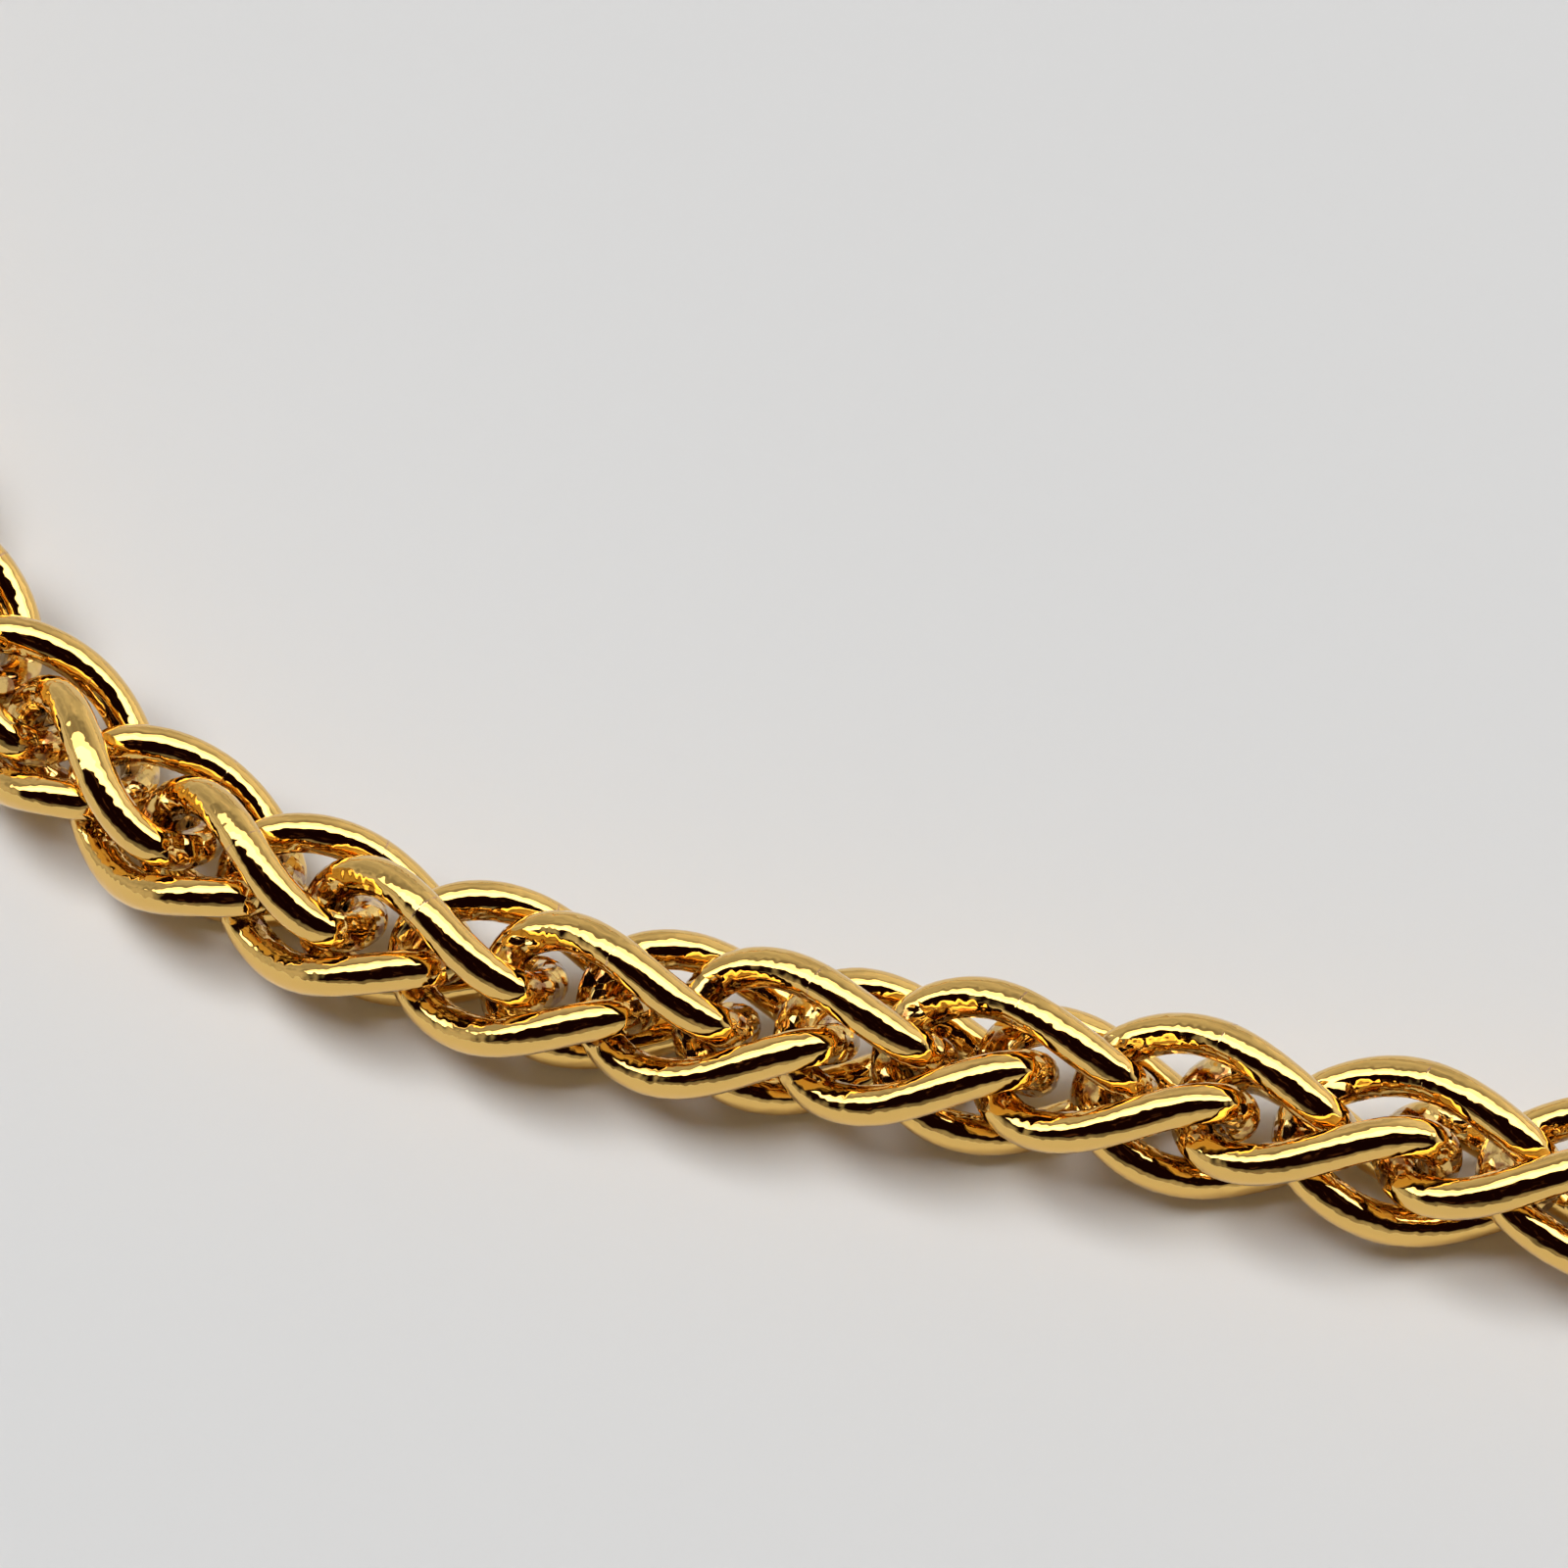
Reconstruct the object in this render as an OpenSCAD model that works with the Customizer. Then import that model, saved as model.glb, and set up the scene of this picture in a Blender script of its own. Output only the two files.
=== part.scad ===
// Wheat chain necklace with its clasp closed, lying flat in a loop. Millimetres, +Z up.
// The origin is under the middle of the loop, on the surface that the chain lies on.
//
// The chain is woven from closed oval wire links, each twisted a quarter turn. A link passes
// through the two links before it, and right-hand and left-hand twists take turns, so that the
// wires of two strands lean against each other in a row of Vs, like the grains of an ear of wheat.

/* [Chain] */
// Number of links, both strands together
link_count = 156; // [140:2:156]
// Distance from one link to the next, along the chain
link_step = 2.8; // [2.75:0.01:2.82]
// Diameter of a link's wire
wire_d = 1.15; // [1.05:0.01:1.15]
// Radius of the round chain, from its axis to the middle of the wire
link_r = 2.05; // [2.03:0.01:2.08]

/* [Link shape] */
// Distance between the wires of two hooked ends, in wire diameters
hook_gap = 1.12; // [1.1:0.01:1.14]
// How blunt the ends of a link are: 1 is an ellipse, less is squarer
end_bluntness = 0.82; // [0.8:0.01:0.86]
// Share of the twist that eases in and out, where 0 is a steady twist
twist_ease = 0.3; // [0:0.05:0.4]

/* [Clasp] */
// Diameter of the wire of the two jump rings
ring_wire_d = 1.0; // [0.8:0.05:1]
// Radius of the ring between the chain's last link and the clasp, to the middle of its wire
eye_ring_r = 2.1; // [2:0.05:2.2]
// Radius of the ring between the clasp and the chain's first link, to the middle of its wire
catch_ring_r = 2.5; // [2.4:0.05:2.5]
// Diameter of the clasp's body, which is a plain round bow
bow_wire_d = 1.8; // [1.6:0.05:1.8]
// Radius of the bow, to the middle of its tube
bow_r = 4.5; // [4.4:0.05:4.5]
// Radius of the eye on the bow, to the middle of its wire
eye_r = 1.4; // [1.4:0.05:1.45]

/* [Hidden] */

gold = [0.88, 0.64, 0.17];
$fn = 48;

// Gap between two pieces of metal that hook into each other at the clasp
play = 0.14;

// A link in its own frame: X along the chain, Y to the left of it, Z up, the middle at the origin
steps = 10;
sides = 5;
link_l = 2*link_step + hook_gap*wire_d;
// The corners of the five-sided wire stand a little proud of the round wire
corner_r = 0.505*wire_d;

function ease(w) = (1 - twist_ease)*w + twist_ease*w*w*(3 - 2*w);

// Middle of the wire at step i. The half step puts a short flat run of wire across each end, and
// the division puts that run right at the link's end.
function wire_mid(i) =
    let (a = (i + 0.5)*360/steps)
    let (u = link_l/2*(1 - cos(a)/cos(180/steps)))
    let (r = link_r*sign(sin(a))*pow(abs(sin(a)), end_bluntness))
    let (turn = 90*(1 - ease(u/link_l)))
    [u - link_l/2, -r*cos(turn), r*sin(turn)];

function unit(v) = v/norm(v);

// Ring of wire corners at step i, square to the wire, with one corner pointing out of the link
function wire_ring(i) =
    let (p = wire_mid(i))
    let (along = unit(wire_mid(i + 1) - wire_mid(i - 1)))
    let (out = unit(p - along*(p*along)))
    let (across = cross(along, out))
    [for (j = [0:sides - 1]) p + corner_r*(cos(j*360/sides)*out + sin(j*360/sides)*across)];

link_points = [for (i = [0:steps - 1]) each wire_ring(i)];

function corner(i, j) = (i % steps)*sides + j % sides;

link_faces = [for (i = [0:steps - 1], j = [0:sides - 1])
    each [[corner(i, j), corner(i + 1, j), corner(i, j + 1)],
          [corner(i, j + 1), corner(i + 1, j), corner(i + 1, j + 1)]]];

// The clasp's pieces hang on each other between the chain's last link and its first
eye_sink = 0.1;
ring_in_link = (ring_wire_d + wire_d)/2 + play;
eye_in_ring = ring_wire_d + play;
ring_in_bow = (bow_wire_d + ring_wire_d)/2 + 3*play;
link_to_eye_ring = eye_ring_r - ring_in_link;
eye_ring_to_eye = eye_ring_r - eye_in_ring + eye_r;
eye_to_bow = eye_r + bow_wire_d/2 - eye_sink + bow_r;
bow_to_catch_ring = bow_r - ring_in_bow + catch_ring_r;
catch_ring_to_link = catch_ring_r - ring_in_link;
clasp_l = link_to_eye_ring + eye_ring_to_eye + eye_to_bow + bow_to_catch_ring + catch_ring_to_link;

// The chain and the clasp, end to end, are the length of the closed loop
chain_l = (link_count - 1)*link_step + link_l;
loop_l = chain_l + clasp_l;

// The loop is one smooth closed curve. It bends towards these points without reaching them. It
// starts at the clasp, at the back, and runs down the left side, along the front and up the right.
// Its size is then brought to the loop's length.
route = [
    [34, 137], [14.5, 138.5], [-5, 134.5], [-22.5, 124.5], [-35.5, 109.5], [-43.5, 92],
    [-46.5, 73.5], [-45, 55], [-40, 36.5], [-31.5, 17], [-22, -0.5], [-6, -8],
    [7, -9], [25, -15], [44.5, -13.5], [62.5, -4], [76, 10], [85, 27.5],
    [90, 46.5], [91, 66], [88, 85], [81, 103], [69, 118.5], [53, 130]];

// Point on the stretch that starts near route point i, where f runs from 0 to 1
function bend(i, f) =
    let (n = len(route))
    ((1 - f)^3*route[(i + n - 1) % n] + (3*f^3 - 6*f^2 + 4)*route[i]
        + (1 + 3*f + 3*f^2 - 3*f^3)*route[(i + 1) % n] + f^3*route[(i + 2) % n])/6;

bends = [for (i = [0:len(route) - 1], j = [0:11]) bend(i, j/12), bend(0, 0)];
runs = [for (i = [1:len(bends) - 1]) norm(bends[i] - bends[i - 1])];
bends_l = runs*[for (r = runs) 1];
track = loop_l/bends_l*bends;

// Place and heading at a distance along the loop
distances = [for (i = 0, d = 0; i <= len(runs); d = d + loop_l/bends_l*(i < len(runs) ? runs[i] : 0),
    i = i + 1) d];
track_x = [for (i = [0:len(runs)]) [distances[i], track[i].x]];
track_y = [for (i = [0:len(runs)]) [distances[i], track[i].y]];
function place(u) = [lookup(u % loop_l, track_x), lookup(u % loop_l, track_y)];
function heading(u, l) =
    let (e = place(u + l) - place(u))
    atan2(e.y, e.x);

// How far the woven chain is rolled about its own axis: the columns are how far along the chain,
// where 0 is the first link and 1 the last, and degrees
roll = [
    [0, 55], [0.395, 23], [0.425, 30], [0.46, 47], [0.492, 73], [0.522, 97], [0.557, 122],
    [1, 270]];

// The first link starts this far along the loop, and the others follow it step by step
chain_start = 7.8;
function link_start(k) = chain_start + k*link_step;
function is_right(k) = k % 2 == 0;
function link_roll(k) = lookup(k/(link_count - 1), roll);

// The axis of the chain lies so high that its lowest wire touches the surface
function drop(k) =
    let (c = cos(link_roll(k)), s = sin(link_roll(k))*(is_right(k) ? 1 : -1))
    max([for (p = link_points) s*p.y - c*p.z]);
axis_z = max([for (k = [0:link_count - 1]) drop(k)]);

// Places of the clasp's pieces along the loop
eye_ring_u = chain_start + chain_l + link_to_eye_ring;
eye_u = eye_ring_u + eye_ring_to_eye;
bow_u = eye_u + eye_to_bow;
catch_ring_u = bow_u + bow_to_catch_ring;

// The eye stands on the surface. Its ring hangs between it and the link, a little higher there.
eye_z = eye_r + ring_wire_d/2;
eye_ring_z = (axis_z + eye_z)/2;
eye_ring_tilt = 8;
// The bow lies on the surface at its eye, and its far side is lifted by the catch ring under it
bow_lift = 1.5;
bow_tilt = asin(bow_lift/(2*bow_r));
bow_z = bow_wire_d/2 + bow_lift/2;
// The catch ring stands on the surface and leans over, square to the end of the first link
catch_ring_lean = 55;
catch_ring_z = catch_ring_r*sin(catch_ring_lean) + ring_wire_d/2;

// Middle of the necklace's box: the chain reaches as far out all round, but the bow more at the back
xs = [for (p = track) p.x];
ys = [for (p = track) p.y];
chain_reach = link_r + wire_d/2;
bow_back = place(bow_u).y + bow_r + bow_wire_d/2;
middle = [(min(xs) + max(xs))/2, (min(ys) - chain_reach + bow_back)/2];

// Puts its child on the loop at distance u, X along the chain over the length l
module on_route(u, z, l = 1) {
    mid = (place(u - l/2) + place(u + l/2))/2 - middle;
    translate([mid.x, mid.y, z])
        rotate(heading(u - l/2, l))
            children();
}

module link(k) {
    on_route(link_start(k) + link_l/2, axis_z, link_l)
        rotate([-link_roll(k), 0, 0])
            mirror([0, is_right(k) ? 0 : 1, 0])
                polyhedron(points = link_points, faces = link_faces);
}

module ring(r, d) {
    rotate_extrude()
        translate([r, 0])
            circle(d = d);
}

module strand(first) {
    color(gold)
        for (k = [first:2:link_count - 1])
            link(k);
}

module right_twist_strand() {
    strand(0);
}

module left_twist_strand() {
    strand(1);
}

// Jump ring that lies flat, through the last link and the clasp's eye
module eye_ring() {
    color(gold)
        on_route(eye_ring_u, eye_ring_z)
            rotate([0, eye_ring_tilt, 0])
                ring(eye_ring_r, ring_wire_d);
}

// Jump ring that leans over, through the clasp's bow and the first link
module catch_ring() {
    color(gold)
        on_route(catch_ring_u, catch_ring_z)
            rotate([-catch_ring_lean, 0, 0])
                ring(catch_ring_r, ring_wire_d);
}

// Plain closed bow with an eye that stands upright on it
module clasp() {
    color(gold) {
        on_route(bow_u, bow_z)
            rotate([0, -bow_tilt, 0])
                ring(bow_r, bow_wire_d);
        on_route(eye_u, eye_z)
            rotate([90, 0, 0])
                ring(eye_r, ring_wire_d);
    }
}

right_twist_strand();
left_twist_strand();
eye_ring();
clasp();
catch_ring();
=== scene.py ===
"""Looks of a polished gold wheat chain necklace, lying closed on a sheet of paper.

The chain's own pieces are worked out here as fine surfaces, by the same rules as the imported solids
and in the same place. Lengths are millimetres until a surface becomes a mesh, which is in metres.
"""

import math

import bpy
import numpy as np
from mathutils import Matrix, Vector


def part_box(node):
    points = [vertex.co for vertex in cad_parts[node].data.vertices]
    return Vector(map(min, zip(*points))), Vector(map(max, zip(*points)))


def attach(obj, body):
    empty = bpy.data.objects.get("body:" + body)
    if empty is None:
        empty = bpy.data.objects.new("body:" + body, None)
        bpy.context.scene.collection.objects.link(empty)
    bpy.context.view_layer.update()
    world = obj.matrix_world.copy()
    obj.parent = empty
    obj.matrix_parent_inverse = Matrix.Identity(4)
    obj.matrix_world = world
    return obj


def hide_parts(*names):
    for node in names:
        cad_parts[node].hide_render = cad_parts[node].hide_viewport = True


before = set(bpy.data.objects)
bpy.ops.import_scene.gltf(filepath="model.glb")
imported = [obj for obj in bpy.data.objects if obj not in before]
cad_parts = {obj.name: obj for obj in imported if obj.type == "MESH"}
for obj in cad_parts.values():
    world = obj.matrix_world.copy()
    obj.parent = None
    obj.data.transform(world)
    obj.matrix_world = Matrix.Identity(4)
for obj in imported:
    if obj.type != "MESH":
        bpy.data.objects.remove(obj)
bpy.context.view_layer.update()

MM = 0.001

# Sizes of the chain
LINKS = 156
LINK_STEP = 2.8
WIRE_D = 1.15
LINK_R = 2.05
HOOK_GAP = 1.12
LINK_L = 2 * LINK_STEP + HOOK_GAP * WIRE_D
END_BLUNTNESS = 0.82
TWIST_EASE = 0.3
CHAIN_REACH = LINK_R + WIRE_D / 2
CHAIN_L = (LINKS - 1) * LINK_STEP + LINK_L
CHAIN_START = 7.8

# Sizes of the clasp and its two jump rings
RING_WIRE_D = 1.0
EYE_RING_R = 2.1
CATCH_RING_R = 2.5
BOW_WIRE_D = 1.8
BOW_R = 4.5
EYE_R = 1.4
PLAY = 0.14
EYE_SINK = 0.1
BOW_LIFT = 1.5
EYE_RING_TILT = 8
CATCH_RING_LEAN = 55

# Steps between the clasp's pieces along the loop
RING_IN_LINK = (RING_WIRE_D + WIRE_D) / 2 + PLAY
LINK_TO_EYE_RING = EYE_RING_R - RING_IN_LINK
EYE_RING_TO_EYE = EYE_RING_R - RING_WIRE_D - PLAY + EYE_R
EYE_TO_BOW = EYE_R + BOW_WIRE_D / 2 - EYE_SINK + BOW_R
BOW_TO_CATCH_RING = BOW_R - (BOW_WIRE_D + RING_WIRE_D) / 2 - 3 * PLAY + CATCH_RING_R
CLASP_L = (LINK_TO_EYE_RING + EYE_RING_TO_EYE + EYE_TO_BOW + BOW_TO_CATCH_RING
           + CATCH_RING_R - RING_IN_LINK)

# The loop bends towards these points, from the clasp down the left side and along the front
ROUTE = np.array([
    [34, 137], [14.5, 138.5], [-5, 134.5], [-22.5, 124.5], [-35.5, 109.5], [-43.5, 92],
    [-46.5, 73.5], [-45, 55], [-40, 36.5], [-31.5, 17], [-22, -0.5], [-6, -8],
    [7, -9], [25, -15], [44.5, -13.5], [62.5, -4], [76, 10], [85, 27.5],
    [90, 46.5], [91, 66], [88, 85], [81, 103], [69, 118.5], [53, 130],
])
STEPS_PER_SPAN = 12

# How far the woven chain is rolled: share of the chain, degrees
ROLL = np.array([
    [0, 55], [0.395, 23], [0.425, 30], [0.46, 47], [0.492, 73], [0.522, 97], [0.557, 122],
    [1, 270],
])

# How much single links differ, either way: degrees of roll, and millimetres along the chain
UNEVEN_ROLL = 0.7
UNEVEN_SHIFT = 0.02
UNEVEN_SEED = 11

# The grid of a link, and the fine steps that measure the length of its wire
LINK_ROWS = 72
LINK_COLUMNS = 16
FINE_STEPS = 1440

# A link's solder seam, on one grid row: the swelling of its wire as a share, and how far it reaches
SEAM_ROW = 18
SEAM_SWELLING = 0.012
SEAM_REACH = 0.5

# Distances from the chain's axis, as shares of its reach: wire nearer than the first is crumpled
# all over, and wire past the second is polished
CRUMPLED_WITHIN = 0.4
POLISHED_BEYOND = 0.64

# Relief of the gold, millimetres
SWELL_HEIGHT = 0.05
PEEL_HEIGHT = 0.034
CRUMPLE_HEIGHT = 0.1
GROOVE_DEPTH = 0.004

# Facets of the crumpled metal: how many to the millimetre, and how steep
FACETS_PER_MM = 1.9
FACET_SLOPE = 0.9

BRIGHT_GOLD = (0.87, 0.555, 0.16, 1)
DEEP_GOLD = (0.82, 0.55, 0.18, 1)
SEAM_GOLD = (0.70, 0.42, 0.22, 1)
# Painted shade: the dark brown that blotches the chain's recesses, where shade falls
RECESS_SHADE_GOLD = (0.36, 0.15, 0.045, 1)
POLISHED_ROUGHNESS = 0.03

DIM_PAPER = (0.815, 0.813, 0.808, 1)
PALE_PAPER = (0.835, 0.833, 0.829, 1)
TOOTH_HEIGHT = 0.03
PAPER_ROUGHNESS = 0.85
PAPER_GLOSS = 0.2

# Half the width of the paper, and the distance of the soft boxes, metres
FLOOR_HALF = 4.0
BOX_DISTANCE = 5

# Brightness of the room from the back (0), over the top, to the front (1)
ROOM_LEVELS = [
    (0.0, 0.55), (0.23, 0.55), (0.27, 0.3), (0.5, 0.25), (0.54, 0.0), (0.885, 0.0), (0.92, 0.2),
    (1.0, 0.3),
]
SIDE_WALLS = (0.45, 0.45, 0.45, 1)
ROOM_DARK = (0.007, 0.0015, 0.002, 1)
ROOM_SHAPES = (0.075, 0.034, 0.03, 1)

# How much brighter the room is in the light that the metal throws on the paper
PAPER_GLOW = 0.5

# The camera, as the photograph was taken
PHOTO_PX = 1600
FOCAL_PX = 4615
CAMERA_ELEVATION = 56
CAMERA_DISTANCE = 130
SENSOR_MM = 36


def unit(vectors):
    """Each vector of the last axis, divided by its length."""
    return vectors / np.linalg.norm(vectors, axis=-1, keepdims=True)


def smooth(low, high, values):
    """0 up to low and 1 from high on, with a cubic S in between."""
    share = np.clip((values - low) / (high - low), 0, 1)
    return share * share * (3 - 2 * share)


# The loop, as a closed cubic B-spline, brought to the real length

def loop_track():
    """Points of the closed loop and their distances along it: each span blends four route points
    with the weights of a uniform cubic B-spline."""
    f = np.linspace(0, 1, STEPS_PER_SPAN, endpoint=False)[:, None]
    spans = [
        ((1 - f) ** 3 * ROUTE[i - 1] + (3 * f**3 - 6 * f**2 + 4) * ROUTE[i]
         + (1 + 3 * f + 3 * f**2 - 3 * f**3) * ROUTE[(i + 1) % len(ROUTE)]
         + f**3 * ROUTE[(i + 2) % len(ROUTE)]) / 6
        for i in range(len(ROUTE))
    ]
    points = np.vstack(spans + [spans[0][:1]])
    distances = np.r_[0, np.cumsum(np.linalg.norm(np.diff(points, axis=0), axis=1))]
    scale = (CHAIN_L + CLASP_L) / distances[-1]
    return points * scale, distances * scale


TRACK, DISTANCES = loop_track()


def place(distance):
    """Point of the loop at a distance along it."""
    u = np.mod(distance, DISTANCES[-1])
    return np.stack([np.interp(u, DISTANCES, TRACK[:, axis]) for axis in (0, 1)], axis=-1)


# Places of the clasp's pieces along the loop
EYE_RING_U = CHAIN_START + CHAIN_L + LINK_TO_EYE_RING
EYE_U = EYE_RING_U + EYE_RING_TO_EYE
BOW_U = EYE_U + EYE_TO_BOW
CATCH_RING_U = BOW_U + BOW_TO_CATCH_RING

# The origin is under the middle of the necklace's box, which the bow reaches at the back
BOW_BACK = place(BOW_U)[1] + BOW_R + BOW_WIRE_D / 2
MIDDLE = np.array([
    (TRACK[:, 0].min() + TRACK[:, 0].max()) / 2,
    (TRACK[:, 1].min() - CHAIN_REACH + BOW_BACK) / 2,
])

# Heights of the chain's axis, which is halfway up a strand, and of the middles of the clasp's pieces
strand_low, strand_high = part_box("right_twist_strand")
AXIS_Z = (strand_low[2] + strand_high[2]) / 2 / MM
EYE_Z = EYE_R + RING_WIRE_D / 2
EYE_RING_Z = (AXIS_Z + EYE_Z) / 2
BOW_Z = BOW_WIRE_D / 2 + BOW_LIFT / 2
CATCH_RING_Z = CATCH_RING_R * math.sin(math.radians(CATCH_RING_LEAN)) + RING_WIRE_D / 2


def on_route(local, distance, height, length=1):
    """Moves grids of points from the frame of a piece, X along the loop, to its place on the loop.
    The piece lies along the chord that spans its length, so the turn is the chord's heading."""
    distance = np.asarray(distance, float)[..., None, None]
    back, front = place(distance - length / 2), place(distance + length / 2)
    x, y, z = np.moveaxis(local, -1, 0)
    ahead_x, ahead_y = np.moveaxis(unit(front - back), -1, 0)
    middle_x, middle_y = np.moveaxis((back + front) / 2 - MIDDLE, -1, 0)
    return np.stack([
        x * ahead_x - y * ahead_y + middle_x,
        x * ahead_y + y * ahead_x + middle_y,
        z + height,
    ], axis=-1)


# Surfaces

def closed_faces(rows, columns):
    """Quads of a grid that closes on itself both ways."""
    i, j = np.meshgrid(np.arange(rows), np.arange(columns), indexing="ij")
    down, right = (i + 1) % rows, (j + 1) % columns
    corners = [i * columns + j, down * columns + j, down * columns + right, i * columns + right]
    return np.stack(corners, axis=-1).reshape(-1, 4)


def tube(middles, radii, columns):
    """Round wire along a closed line about the origin: at each step a circle square to the line,
    whose first point looks away from the origin. Gives the points as steps x columns x 3."""
    along = unit(np.roll(middles, -1, axis=0) - np.roll(middles, 1, axis=0))
    out = unit(middles - along * (middles * along).sum(axis=1, keepdims=True))
    across = np.cross(along, out)
    angle = np.linspace(0, 2 * np.pi, columns, endpoint=False)[None, :, None]
    circle = np.cos(angle) * out[:, None] + np.sin(angle) * across[:, None]
    return middles[:, None] + radii[:, None, None] * circle


def seamed_radii(wire_d, seam, reach, swelling):
    """Radius of a wire that swells by a share, or narrows, as a bell about its seam."""
    return wire_d / 2 * (1 + swelling * np.exp(-(seam / reach) ** 2))


def link_line(angle):
    """Middle of a link's wire: it runs along the link as a cosine, stands off the axis by a blunted
    sine, and turns a quarter turn about the axis from one end to the other."""
    ahead = LINK_L / 2 * (1 - np.cos(angle))
    reach = LINK_R * np.sign(np.sin(angle)) * np.abs(np.sin(angle)) ** END_BLUNTNESS
    share = ahead / LINK_L
    turn = np.pi / 2 * (1 - (1 - TWIST_EASE) * share - TWIST_EASE * smooth(0, 1, share))
    return np.stack([ahead - LINK_L / 2, -reach * np.cos(turn), reach * np.sin(turn)], axis=-1)


def link_surface():
    """A right-twist link in even steps of wire, soldered in the middle of one side. Gives its
    points, and how far each is from the seam along the wire."""
    fine = np.linspace(0, 2 * np.pi, FINE_STEPS + 1)
    run = np.r_[0, np.cumsum(np.linalg.norm(np.diff(link_line(fine), axis=0), axis=1))]
    steps = np.linspace(0, run[-1], LINK_ROWS, endpoint=False)
    middles = link_line(np.interp(steps, run, fine))
    seam = np.abs(steps - steps[SEAM_ROW])
    seam = np.minimum(seam, run[-1] - seam)
    points = tube(middles, seamed_radii(WIRE_D, seam, SEAM_REACH, SEAM_SWELLING), LINK_COLUMNS)
    return points, np.broadcast_to(seam[:, None], points.shape[:2])


def strand_surface(first):
    """Every second link: the link rolled about the chain's axis and set on the loop, all at once.
    Left-twist links are right-twist ones mirrored from side to side."""
    k = np.arange(first, LINKS, 2)
    link, seam = link_surface()
    if first:
        link = link * [1, -1, 1]
    uneven = np.random.default_rng(UNEVEN_SEED + first)
    roll = np.radians(np.interp(k / (LINKS - 1), ROLL[:, 0], ROLL[:, 1])
                      + uneven.uniform(-UNEVEN_ROLL, UNEVEN_ROLL, len(k)))
    shift = uneven.uniform(-UNEVEN_SHIFT, UNEVEN_SHIFT, len(k))
    c, s = np.cos(roll)[:, None, None], np.sin(roll)[:, None, None]
    x, y, z = np.moveaxis(link, -1, 0)
    rolled = np.stack(np.broadcast_arrays(x, y * c + z * s, z * c - y * s), axis=-1)
    points = on_route(rolled, CHAIN_START + k * LINK_STEP + LINK_L / 2 + shift, AXIS_Z, LINK_L)
    recess = 1 - smooth(CRUMPLED_WITHIN, POLISHED_BEYOND, np.hypot(y, z) / CHAIN_REACH)
    faces = closed_faces(LINK_ROWS, LINK_COLUMNS)
    faces = faces[:, ::-1] if first else faces
    count = LINK_ROWS * LINK_COLUMNS
    faces = (faces[None] + count * np.arange(len(k))[:, None, None]).reshape(-1, 4)
    values = {"recess": np.tile(recess.ravel(), len(k)), "seam": np.tile(seam.ravel(), len(k))}
    return points.reshape(-1, 3), faces, values


def turned(points, axis, degrees):
    """Points turned about X or Y, as a right-hand screw."""
    c, s = math.cos(math.radians(degrees)), math.sin(math.radians(degrees))
    about = {
        "X": [[1, 0, 0], [0, c, -s], [0, s, c]],
        "Y": [[c, 0, s], [0, 1, 0], [-s, 0, c]],
    }
    return points @ np.array(about[axis]).T


def ring_part(radius, wire_d, grid, seam_at, seam_reach, swelling, turn, distance, height):
    """A torus as a part of a piece, turned and set on the loop. Its wire swells, or narrows, about
    its seam, which is at one angle in degrees. The grid is rows and columns."""
    rows, columns = grid
    angle = np.linspace(0, 2 * np.pi, rows, endpoint=False)
    middles = radius * np.stack([np.cos(angle), np.sin(angle), 0 * angle], axis=-1)
    seam = np.abs(np.angle(np.exp(1j * (angle - math.radians(seam_at))))) * radius
    surface = tube(middles, seamed_radii(wire_d, seam, seam_reach, swelling), columns)
    points = on_route(turned(surface, *turn), distance, height).reshape(-1, 3)
    values = {"recess": np.zeros(rows * columns), "seam": np.repeat(seam, columns)}
    return points, closed_faces(rows, columns), values


def as_piece(name, node, parts, material):
    """One object from surfaces that close both ways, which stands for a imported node. Each part is
    its points, its faces and its values at the points."""
    starts = np.cumsum([0] + [len(points) for points, _, _ in parts])
    mesh = bpy.data.meshes.new(name)
    points = np.vstack([points for points, _, _ in parts]) * MM
    faces = np.vstack([faces + start for (_, faces, _), start in zip(parts, starts)])
    mesh.from_pydata(points.tolist(), [], faces.tolist())
    mesh.polygons.foreach_set("use_smooth", np.ones(len(faces), bool))
    for key in ("recess", "seam"):
        layer = mesh.attributes.new(key, "FLOAT", "POINT")
        layer.data.foreach_set("value", np.concatenate([values[key] for _, _, values in parts]))
    mesh.materials.append(material)
    mesh.update()
    piece = bpy.data.objects.new(name, mesh)
    bpy.context.scene.collection.objects.link(piece)
    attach(piece, "root")
    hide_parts(node)


def jump_ring(name, node, radius, turn, distance, height):
    """A ring of wire whose two ends meet, a little narrower, at one side."""
    part = ring_part(radius, RING_WIRE_D, grid=(96, 24), seam_at=90, seam_reach=0.12,
                     swelling=-0.05, turn=turn, distance=distance, height=height)
    as_piece(name, node, [part], clasp_gold)


def clasp_body():
    """The bow, lifted at its far side, and the eye that stands on its near side and thickens where
    it is soldered on."""
    bow_tilt = math.degrees(math.asin(BOW_LIFT / (2 * BOW_R)))
    bow = ring_part(BOW_R, BOW_WIRE_D, grid=(144, 32), seam_at=90, seam_reach=0.12,
                    swelling=-0.02, turn=("Y", -bow_tilt), distance=BOW_U, height=BOW_Z)
    eye = ring_part(EYE_R, RING_WIRE_D, grid=(72, 24), seam_at=0, seam_reach=0.45,
                    swelling=0.12, turn=("X", 90), distance=EYE_U, height=EYE_Z)
    as_piece("clasp_body", "clasp", [bow, eye], clasp_gold)


# Shading

def both_ways(operation):
    """An operator's method and its reflected form, each of which adds one Math node."""

    def forward(self, other):
        return self.math(operation, other)

    def reflected(self, other):
        return self.graph.node("Math", {"operation": operation}, {0: other, 1: self})

    return forward, reflected


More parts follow.
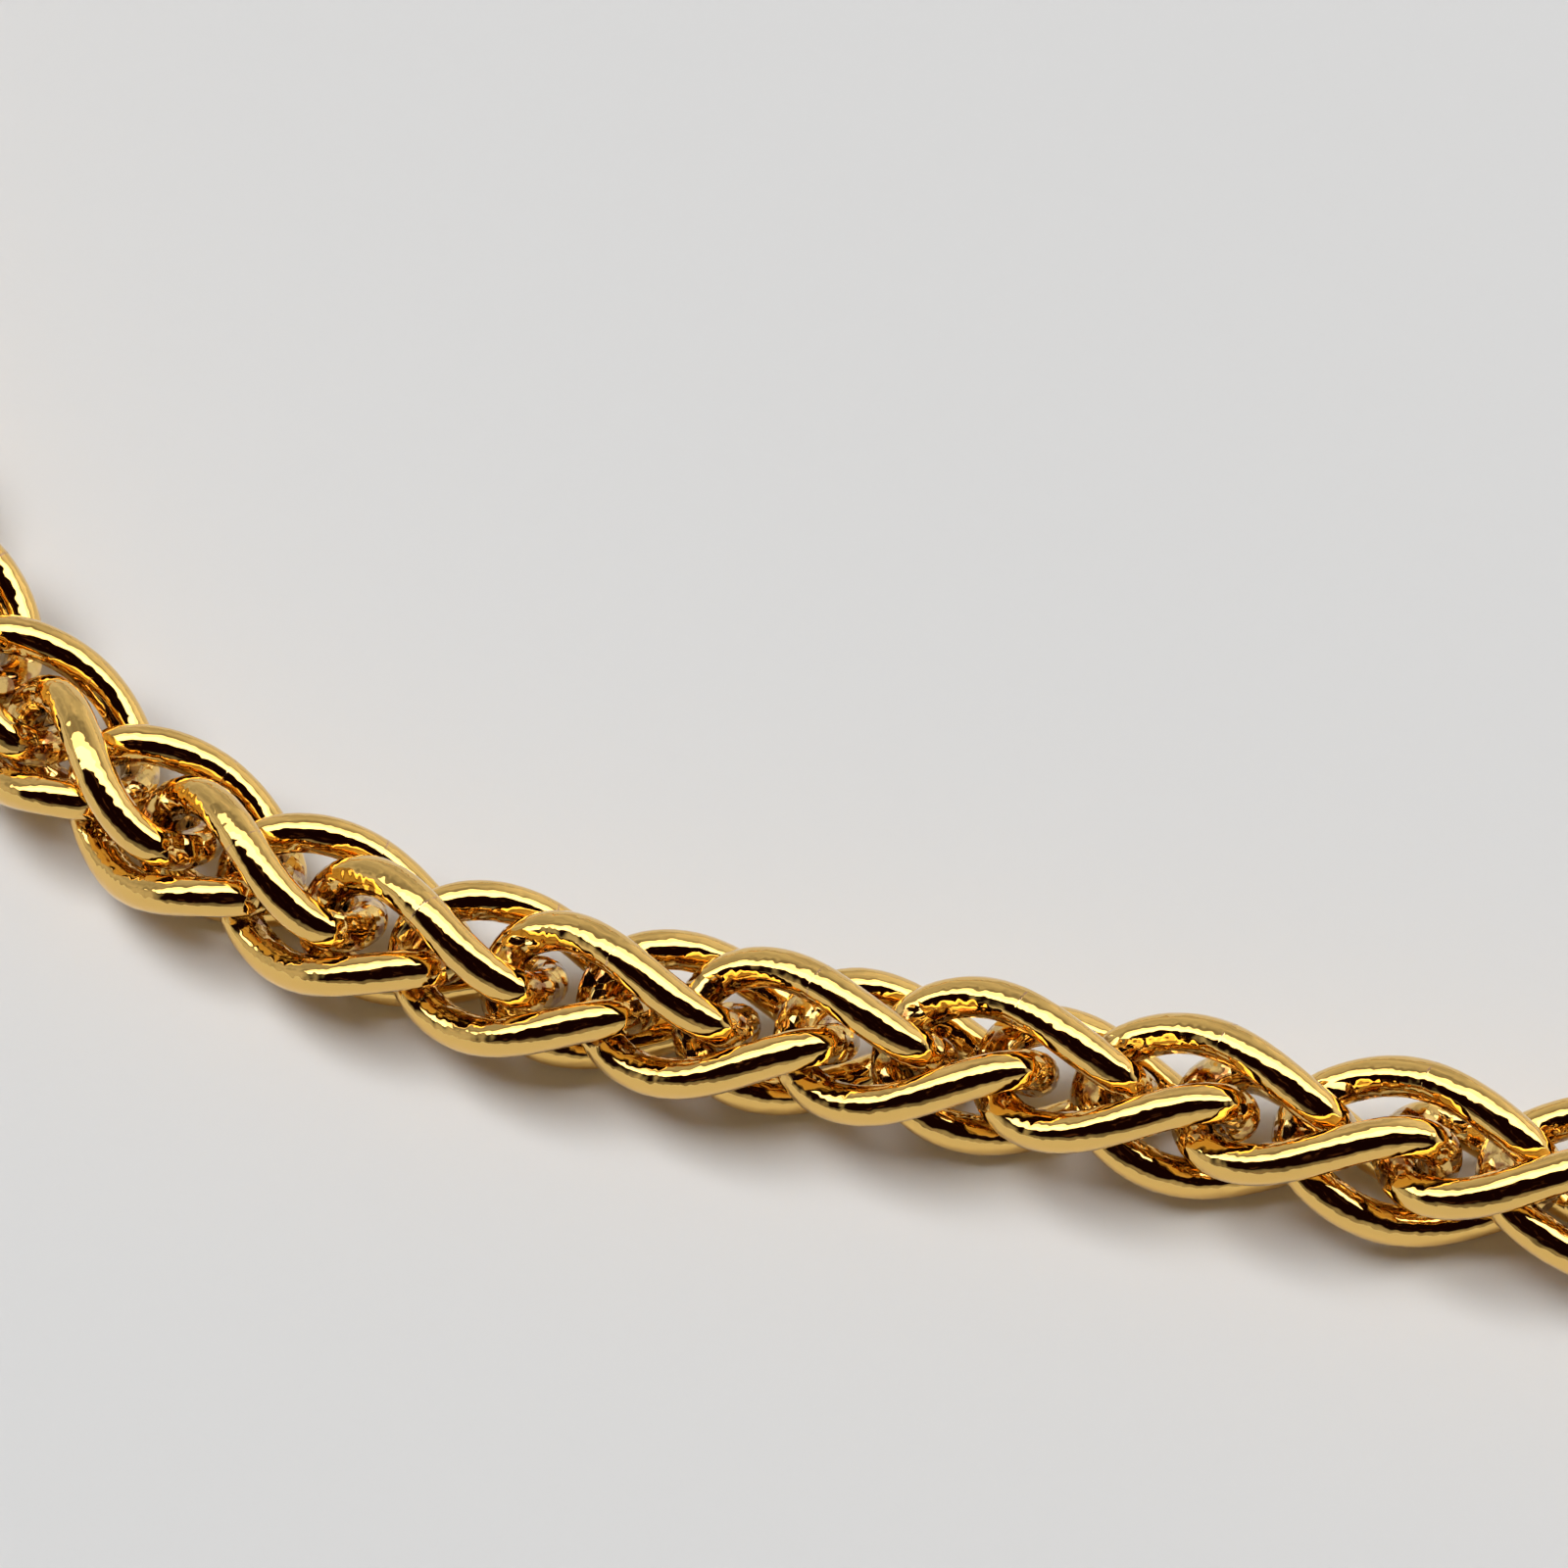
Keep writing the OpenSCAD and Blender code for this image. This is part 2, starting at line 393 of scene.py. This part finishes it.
class Signal:
    """An output socket. Arithmetic on it adds Math nodes to its tree, so 1 - mask reads as it works."""

    def __init__(self, graph, socket):
        self.graph = graph
        self.socket = socket

    def math(self, operation, *others):
        """A Math node on this value and others."""
        inputs = dict(enumerate((self,) + others))
        return self.graph.node("Math", {"operation": operation}, inputs)

    __add__, __radd__ = both_ways("ADD")
    __sub__, __rsub__ = both_ways("SUBTRACT")
    __mul__, __rmul__ = both_ways("MULTIPLY")
    __truediv__, __rtruediv__ = both_ways("DIVIDE")


class Graph:
    """A node tree, and the ways to add nodes to it."""

    def __init__(self, tree):
        self.tree = tree

    def node(self, kind, settings=None, inputs=None, output=0):
        """Adds a node, sets its settings, then sets or links its sockets, and gives one output."""
        made = self.tree.nodes.new("ShaderNode" + kind)
        for key, value in (settings or {}).items():
            if key == "stops":
                self.set_stops(made.color_ramp, value)
            else:
                setattr(made, key, value)
        for key, value in (inputs or {}).items():
            self.feed(made.inputs[key], value)
        return Signal(self, made.outputs[output])

    def feed(self, socket, value):
        """Links a socket to a signal, or gives it a value."""
        if isinstance(value, Signal):
            self.tree.links.new(value.socket, socket)
        else:
            socket.default_value = value

    def set_stops(self, ramp, stops):
        """Gives a ramp its stops: position, grey level."""
        while len(ramp.elements) < len(stops):
            ramp.elements.new(0.5)
        for element, (position, grey) in zip(ramp.elements, stops):
            element.position = position
            element.color = (grey, grey, grey, 1)

    def place_mm(self):
        """The point on the object, in millimetres."""
        point = self.node("TexCoord", output="Object")
        return self.node("VectorMath", {"operation": "SCALE"}, {0: point, "Scale": 1 / MM})

    def noise(self, point, per_unit, detail):
        """Soft noise about 0.5 with so many bumps to a unit of the point's length."""
        inputs = {"Vector": point, "Scale": per_unit, "Detail": detail}
        return self.node("TexNoise", {"noise_dimensions": "3D"}, inputs, "Fac")

    def cells(self, point, per_unit, output):
        """An output of a Voronoi texture with so many cells to a unit of the point's length."""
        return self.node("TexVoronoi", {"feature": "F1"}, {"Vector": point, "Scale": per_unit}, output)

    def vector(self, operation, *vectors, output=0):
        """Vector Math on vectors."""
        return self.node("VectorMath", {"operation": operation}, dict(enumerate(vectors)), output)

    def value_of(self, name):
        """A value that the mesh holds at each of its points."""
        return self.node("Attribute", {"attribute_name": name}, output="Fac")

    def between(self, start, end, value):
        """0 at start and 1 at end, smooth in between and level beyond. Start may be the larger."""
        inputs = {"Value": value, "From Min": start, "From Max": end}
        return self.node("MapRange", {"interpolation_type": "SMOOTHSTEP"}, inputs)

    def blend(self, factor, first, second):
        """Mixes two colours."""
        return self.node("Mix", {"data_type": "RGBA"}, {0: factor, 6: first, 7: second}, 2)

    def bump(self, shader, height, strength, unit_height):
        """Gives a shader the relief of a height, whose unit is so many metres."""
        inputs = {"Strength": strength, "Distance": unit_height, "Height": height}
        self.feed(shader.inputs["Normal"], self.node("Bump", {}, inputs, "Normal"))


def new_material(name):
    """A material, its graph and its shader node."""
    material = bpy.data.materials.new(name)
    material.use_nodes = True
    return material, Graph(material.node_tree), material.node_tree.nodes["Principled BSDF"]


def gold(name):
    """Polished gold: a mirror outside with an orange-peel, crumpled into small facets in the recesses
    that no polishing wheel reaches, with painted shade there as dark brown blotches, and a fine
    uneven groove at each soldered seam. The height is in millimetres. Each Voronoi cell is one facet,
    whose height is the distance from the cell's point times a random slope."""
    material, g, shader = new_material(name)
    point = g.place_mm()
    swell = g.noise(point, per_unit=0.55, detail=1.0)
    peel = g.noise(point, per_unit=2.1, detail=1.0)
    crumple = g.noise(point, per_unit=1.3, detail=1.0)
    grain = g.noise(point, per_unit=11.0, detail=2.0)
    skips = g.noise(point, per_unit=3.0, detail=1.0)
    shade_blotches = g.noise(point, per_unit=2.6, detail=3.0)
    slope = g.vector("SUBTRACT", g.cells(point, FACETS_PER_MM, "Color"), (0.5, 0.5, 0.5))
    offset = g.vector("SUBTRACT", point, g.cells(point, FACETS_PER_MM, "Position"))
    facets = g.vector("DOT_PRODUCT", slope, offset, output="Value")

    # Where the metal is crumpled, grooved and darkened by painted shade, each with a ragged edge
    crumpled = g.between(0.15, 0.95, g.value_of("recess") + (peel - 0.5) * 0.6)
    groove = g.between(0.045, 0.01, g.value_of("seam") + (grain - 0.5) * 0.09)
    groove = groove * g.between(0.42, 0.6, skips)
    painted_shade = g.between(0.47, 0.63, shade_blotches) * crumpled

    # The recesses take the painted shade's dark brown in blotches
    colour = g.blend(painted_shade, g.blend(crumpled, BRIGHT_GOLD, DEEP_GOLD), RECESS_SHADE_GOLD)
    g.feed(shader.inputs["Base Color"], g.blend(groove, colour, SEAM_GOLD))
    roughness = POLISHED_ROUGHNESS + grain * 0.02 + crumpled * 0.05 + groove * 0.1
    g.feed(shader.inputs["Roughness"], roughness)
    shader.inputs["Metallic"].default_value = 1
    height = (swell * SWELL_HEIGHT + peel * PEEL_HEIGHT - groove * GROOVE_DEPTH
              + crumpled * (crumple * CRUMPLE_HEIGHT + facets * FACET_SLOPE))
    g.bump(shader, height, strength=1.0, unit_height=MM)
    return material


def paper():
    """Off-white paper with a faint tooth."""
    material, g, shader = new_material("paper")
    point = g.place_mm()
    tooth = g.noise(point, per_unit=1.6, detail=4.0)
    clouds = g.noise(point, per_unit=0.02, detail=2.0)
    g.feed(shader.inputs["Base Color"], g.blend(clouds, DIM_PAPER, PALE_PAPER))
    shader.inputs["Roughness"].default_value = PAPER_ROUGHNESS
    shader.inputs["Specular IOR Level"].default_value = PAPER_GLOSS
    g.bump(shader, tooth, strength=0.35, unit_height=TOOTH_HEIGHT * MM)
    return material


# Floor, light and camera

def floor():
    """A level sheet of paper, far wider than any view."""
    mesh = bpy.data.meshes.new("paper_floor")
    half = FLOOR_HALF
    corners = [(-half, -half, 0), (half, -half, 0), (half, half, 0), (-half, half, 0)]
    mesh.from_pydata(corners, [], [(0, 1, 2, 3)])
    mesh.materials.append(paper())
    sheet = bpy.data.objects.new("paper_floor", mesh)
    bpy.context.scene.collection.objects.link(sheet)


def soft_box(name, elevation, aside, size, radiance, on_metal):
    """A soft box that looks at the chain. Its elevation is from behind over the top to the front,
    then it is turned aside, to the right. Its power follows from its size in metres and from the
    radiance of its face. It either shows in the metal alone, or lights the paper alone."""
    lamp = bpy.data.lights.new(name, "AREA")
    lamp.shape = "RECTANGLE"
    lamp.size, lamp.size_y = size
    lamp.energy = radiance * math.pi * size[0] * size[1]
    holder = bpy.data.objects.new(name, lamp)
    bpy.context.scene.collection.objects.link(holder)
    e, a = math.radians(elevation), math.radians(aside)
    away = Vector((math.sin(a), math.cos(a) * math.cos(e), math.cos(a) * math.sin(e)))
    holder.location = away * BOX_DISTANCE
    holder.rotation_mode = "QUATERNION"
    holder.rotation_quaternion = away.to_track_quat("Z", "Y")
    holder.visible_camera = False
    holder.visible_glossy = on_metal
    holder.visible_diffuse = not on_metal


def studio():
    """The room that shows in the metal: pale walls all round, and a dark part on the photographer's
    side, from the zenith to the front, with a few faint shapes in it. The paper doesn't see the
    room itself, only the light of a brighter one that the metal throws on it."""
    world = bpy.data.worlds.new("studio")
    bpy.context.scene.world = world
    world.use_nodes = True
    g = Graph(world.node_tree)
    direction = g.node("TexCoord", output="Generated")
    x, y, z = [g.node("SeparateXYZ", {}, {0: direction}, axis) for axis in "XYZ"]
    arch = z.math("ARCTAN2", y) / math.pi
    level = g.node("ValToRGB", {"stops": ROOM_LEVELS}, {0: arch}, "Color")
    walls = g.blend(g.between(0.9, 0.985, x.math("ABSOLUTE")), level, SIDE_WALLS)

    # The walls are uneven, and brighter to the right
    patches = g.noise(direction, per_unit=2.5, detail=2.0)
    gain = (patches * 1.6 + 0.2) * (g.between(0.1, 0.8, x) * 0.8 + 1)
    outlines = g.between(0.54, 0.72, g.noise(direction, per_unit=4.0, detail=2.0))
    shapes = g.blend(outlines, ROOM_DARK, ROOM_SHAPES)
    room = g.vector("MULTIPLY_ADD", walls, gain, shapes)

    from_paper = g.node("LightPath", output="Diffuse Depth").math("MINIMUM", 1)
    room = g.vector("ADD", room, from_paper * PAPER_GLOW)
    g.feed(world.node_tree.nodes["Background"].inputs["Color"], room)
    world.cycles_visibility.diffuse = False


def camera():
    """The camera at the photograph's angle, aimed at the point of the chain's level that is in the
    middle of the frame."""
    lens = bpy.data.cameras.new("camera")
    lens.sensor_width = SENSOR_MM
    lens.lens = SENSOR_MM * FOCAL_PX / PHOTO_PX
    lens.clip_start = MM
    holder = bpy.data.objects.new("camera", lens)
    bpy.context.scene.collection.objects.link(holder)
    e = math.radians(CAMERA_ELEVATION)
    back = Vector((0, -math.cos(e), math.sin(e)))
    aim = Vector((-MIDDLE[0], -MIDDLE[1], AXIS_Z))
    holder.location = (aim + back * CAMERA_DISTANCE) * MM
    holder.rotation_mode = "QUATERNION"
    holder.rotation_quaternion = (-back).to_track_quat("-Z", "Y")
    bpy.context.scene.camera = holder


strand_gold = gold("strand_gold")
clasp_gold = gold("clasp_gold")

as_piece("right_strand_wires", "right_twist_strand", [strand_surface(0)], strand_gold)
as_piece("left_strand_wires", "left_twist_strand", [strand_surface(1)], strand_gold)
jump_ring("eye_jump_ring", "eye_ring", EYE_RING_R, ("Y", EYE_RING_TILT), EYE_RING_U, EYE_RING_Z)
jump_ring("catch_jump_ring", "catch_ring", CATCH_RING_R, ("X", -CATCH_RING_LEAN), CATCH_RING_U,
          CATCH_RING_Z)
clasp_body()

floor()
studio()
soft_box("strip_box", elevation=78, aside=0, size=(24, 3.44), radiance=1.9, on_metal=True)
soft_box("strip_core", elevation=85, aside=0, size=(24, 1.8), radiance=1.3, on_metal=True)
soft_box("paper_box", elevation=85, aside=-20, size=(3.2, 3.0), radiance=7.0, on_metal=False)
soft_box("paper_fill", elevation=90, aside=0, size=(24, 24), radiance=0.12, on_metal=False)
camera()
bpy.context.scene.view_settings.view_transform = "Standard"
